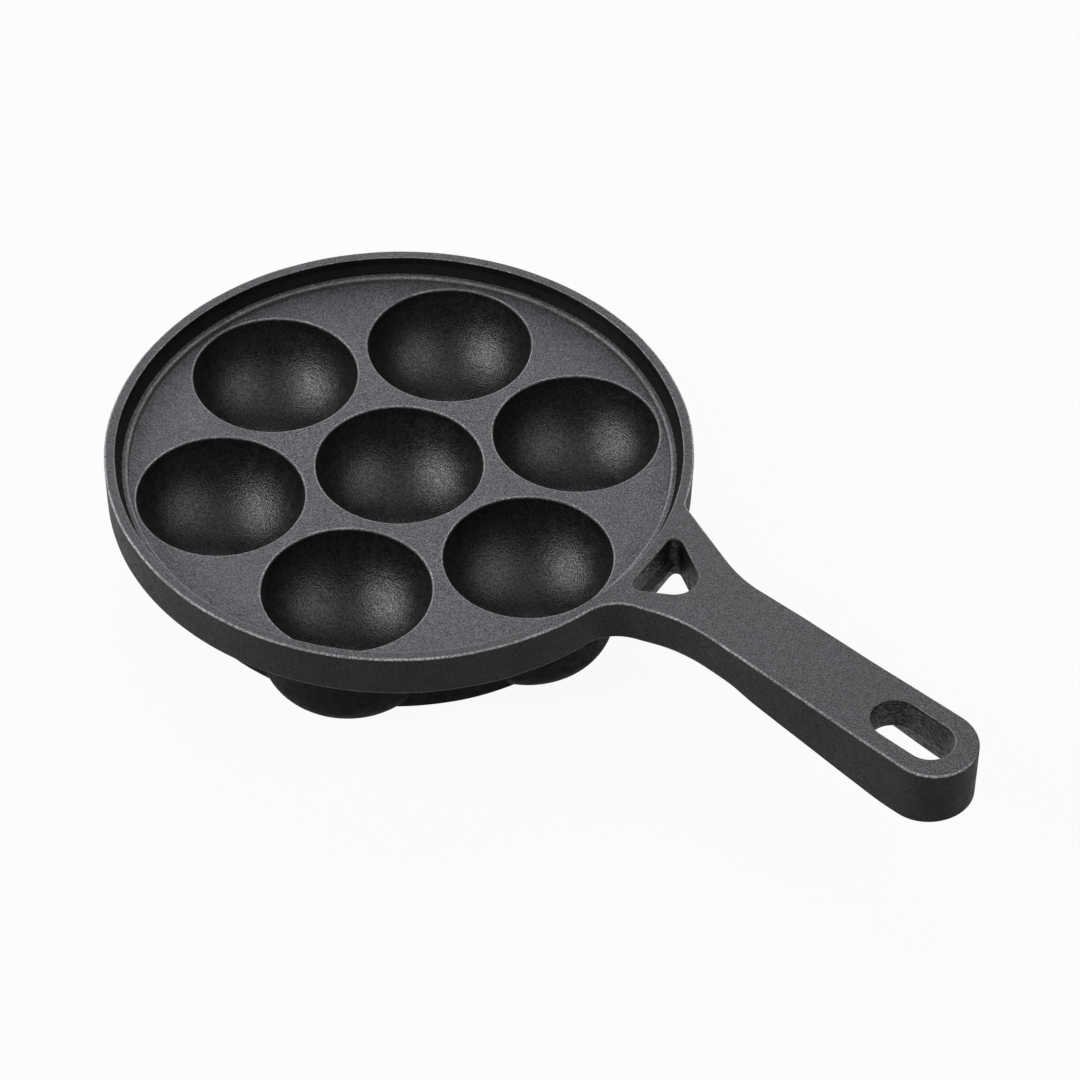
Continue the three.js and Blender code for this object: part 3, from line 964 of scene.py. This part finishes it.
def hollowWalls(shape, ceiling):  # from the lip at the underside up to the ceiling
    lip, draft, fillet = handle["hollowLip"], handle["hollowDraft"], handle["hollowFillet"]
    hollow = denseLoop(hollowOutline())
    sides = list(zip(hollow, outwardNormals(hollow, True)))
    rings = []
    for angle in quarterTurn(handle["lipSteps"]):
        reach, rise = lip * (1 - math.sin(angle)), lip * (1 - math.cos(angle))
        ring = [movedOut(spot, normal, reach, undersideAt(spot[0]) + rise, handle["hollowWear"])
                for spot, normal in sides]
        rings.append(addRing(shape, ring))
    for angle in quarterTurn(handle["filletSteps"]):
        inset, drop = draft + fillet * (1 - math.cos(angle)), fillet * (1 - math.sin(angle))
        ring = [movedOut(spot, normal, -inset, ceiling - drop, 0) for spot, normal in sides]
        rings.append(addRing(shape, ring))
    bridgeAll(shape, rings, True)
    return rings


def makeHandle():
    shape = newShape()
    top = pan["rimTop"]
    ceiling = top - handle["gripWeb"]
    outer = handleSides(shape)
    inner = turned(shape, innerProfile(), handle["rootSteps"], panCentre, rootFrom, rootTo - rootFrom)
    bridgeAll(shape, inner, False)
    capEnds(shape, outer + inner[::-1])
    pocketStart = len(shape["faces"])
    slot = holeWalls(shape, slotOutline(), lambda x: ceiling, 0)
    window = holeWalls(shape, windowOutline(), undersideAt, handle["ledgeDepth"])
    hollow = hollowWalls(shape, ceiling)
    pocketFaces = range(pocketStart, len(shape["faces"]))
    tops = [outer[0] + inner[0][::-1], slot[0], window[0]]
    unders = [outer[-1] + inner[-1][::-1], hollow[0], window[-1]]
    fillFlat(shape, tops, handle["topSpacing"], lambda x, y: top)
    fillFlat(shape, unders, handle["topSpacing"], lambda x, y: undersideAt(x))
    fillFlat(shape, [hollow[-1], slot[-1]], handle["topSpacing"], lambda x, y: ceiling)
    # the inner wall takes the darkest iron: painted shade
    castPiece("castHandle", shape, trayIron, ["handle"], [
        (flankIron, isFlank), (paintedShadeIron, isInnerWall),
        (pocketIron, lambda number, face: number in pocketFaces and isFlank(number, face))])


makeHandle()


# camera at the photograph's place, in metres; the frame is square and counted in pixels
view = {
    "elevation": math.radians(44.85), "azimuth": math.radians(42.2), "roll": math.radians(0.72),
    "distance": 1.92, "focalPixels": 5270, "frame": 1080, "rimCentre": (399.2, 447.1),
    "sensor": 36, "clipEnd": 50,
}


def makeCamera():
    azimuth, elevation = view["azimuth"], view["elevation"]
    back = Vector((math.sin(azimuth) * math.cos(elevation), -math.cos(azimuth) * math.cos(elevation),
                   math.sin(elevation)))
    level = Vector((math.cos(azimuth), math.sin(azimuth), 0))
    upright = back.cross(level)
    right = level * math.cos(view["roll"]) + upright * math.sin(view["roll"])
    up = back.cross(right)
    scale = view["distance"] / view["focalPixels"]
    aside = (view["rimCentre"][0] - view["frame"] / 2) * scale
    below = (view["rimCentre"][1] - view["frame"] / 2) * scale
    lens = bpy.data.cameras.new("camera")
    lens.sensor_width = view["sensor"]
    lens.lens = view["sensor"] * view["focalPixels"] / view["frame"]
    lens.clip_end = view["clipEnd"]
    camera = bpy.data.objects.new("camera", lens)
    rimCentre = Vector((0, 0, pan["rimTop"] / perMetre))
    place = rimCentre + back * view["distance"] - right * aside + up * below
    axes = Matrix((right, up, back)).transposed().to_4x4()
    camera.matrix_world = Matrix.Translation(place) @ axes
    scene.collection.objects.link(camera)
    scene.camera = camera
    return level, Vector((-level.y, level.x, 0))


right, away = makeCamera()
print("camera placed")


# studio in metres: four softboxes, a dim dome, and a white floor that sweeps up at its edge
studio = {
    "key": {"right": -0.86, "away": -0.25, "up": 0.62, "width": 1.1, "height": 0.46, "power": 9.8},
    "fill": {"right": 0.81, "away": -0.25, "up": 0.67, "width": 1.2, "height": 0.55, "power": 3.6},
    "back": {"right": 0, "away": 1.25, "up": 0.80, "width": 1.8, "height": 1.1, "power": 22.5},
    "overhead": {"right": 0, "away": -0.4, "up": 1.4, "width": 2.4, "height": 2.2, "power": 6.5},
    "aim": Vector((0, 0, 0.04)), "lampColour": (0.95, 0.96, 1.0), "dome": 0.03,
    "floorColour": (0.5, 0.5, 0.5), "floorWhite": 0.94, "floorDrop": 0.0004,
    "sweep": ((0, 0), (6.5, 0), (7.3, 0.1), (7.8, 0.4), (8, 0.9), (8, 1.7)),  # radius and height
    "sweepSteps": 96,
}


def makeLamp(name):
    values = studio[name]
    lamp = bpy.data.lights.new(name, "AREA")
    lamp.shape = "ELLIPSE"
    lamp.size, lamp.size_y = values["width"], values["height"]
    lamp.energy = values["power"]
    lamp.color = studio["lampColour"]
    light = bpy.data.objects.new(name, lamp)
    light.location = right * values["right"] + away * values["away"] + Vector((0, 0, values["up"]))
    light.rotation_mode = "QUATERNION"
    light.rotation_quaternion = (studio["aim"] - light.location).to_track_quat("-Z", "Y")
    scene.collection.objects.link(light)


def makeDome():
    world = bpy.data.worlds.new("studio")
    scene.world = world
    world.use_nodes = True
    background = world.node_tree.nodes["Background"]
    background.inputs["Color"].default_value = (1, 1, 1, 1)
    background.inputs["Strength"].default_value = studio["dome"]


def seenDirectly(tree):  # camera, mirror and glass rays, which show the floor itself
    path = addNode(tree, "ShaderNodeLightPath").outputs
    both = addMath(tree, "MAXIMUM", path["Is Camera Ray"], path["Is Glossy Ray"])
    return addMath(tree, "MAXIMUM", both, path["Is Transmission Ray"])


def floorPaper():
    material = bpy.data.materials.new("studio floor")
    material.use_nodes = True
    tree = material.node_tree
    tree.nodes.remove(tree.nodes["Principled BSDF"])
    paper = addNode(tree, "ShaderNodeBsdfDiffuse")
    feed(tree, studio["floorColour"], paper.inputs["Color"])
    white = addNode(tree, "ShaderNodeEmission")
    mixed = addNode(tree, "ShaderNodeMixShader")
    feed(tree, addMath(tree, "MULTIPLY", seenDirectly(tree), studio["floorWhite"]), mixed.inputs[0])
    feed(tree, paper.outputs[0], mixed.inputs[1])
    feed(tree, white.outputs[0], mixed.inputs[2])
    feed(tree, mixed.outputs[0], tree.nodes["Material Output"].inputs["Surface"])
    return material


def makeFloor():
    shape = newShape()
    profile = [(radius, height, 0) for radius, height in studio["sweep"]]
    bridgeAll(shape, turned(shape, profile, studio["sweepSteps"], panCentre), True)
    mesh = bpy.data.meshes.new("studioFloor")
    mesh.from_pydata(shape["points"], [], shape["faces"])
    mesh.materials.append(floorPaper())
    floor = bpy.data.objects.new("studioFloor", mesh)
    floor.location.z = -studio["floorDrop"]
    scene.collection.objects.link(floor)


for lampName in ("key", "fill", "back", "overhead"):
    makeLamp(lampName)
makeDome()
makeFloor()
print("studio set")

bpy.context.view_layer.update()
